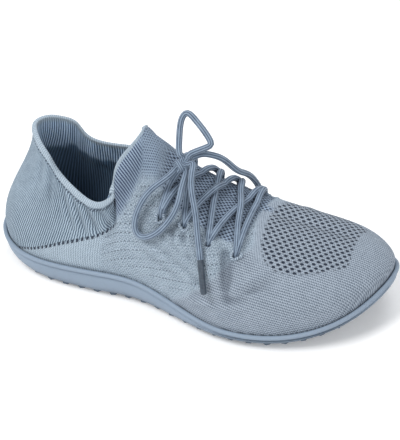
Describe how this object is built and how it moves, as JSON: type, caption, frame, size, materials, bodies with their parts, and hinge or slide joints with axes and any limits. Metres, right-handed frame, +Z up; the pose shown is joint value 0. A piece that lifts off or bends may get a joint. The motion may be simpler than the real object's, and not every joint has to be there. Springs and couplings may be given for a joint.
{
  "type": "barefoot shoe",
  "caption": "Right knit barefoot shoe: thin flexible lugged sole with a raised lip, sock-like knit upper with a pointed tongue, laced and tied in a bow.",
  "frame": {"origin": "bottom centre of the shoe's bounding box, measured without the free lace", "axes": "+X from heel to toe, +Y to the medial (big toe) side, +Z up"},
  "size_m": [0.272, 0.1048, 0.122],
  "materials": {
    "sole_rubber": "satin, slightly bluer than the knit",
    "insole_foam": "matt dark lining",
    "upper_knit": "matt light blue-grey knit",
    "lace_cord": "matt round braided cord",
    "aglet": "dark slate sheath"
  },
  "bodies": {
    "root": {"outsole": "sole_rubber", "insole": "insole_foam", "upper": "upper_knit", "lace_bars": "lace_cord", "lace_knot": "lace_cord", "lace_loop_lateral": "lace_cord", "lace_loop_standing": "lace_cord", "lace_end_lateral": "lace_cord", "lace_end_medial": "lace_cord", "aglet_lateral": "aglet", "aglet_medial": "aglet"}
  },
  "joints": []
}
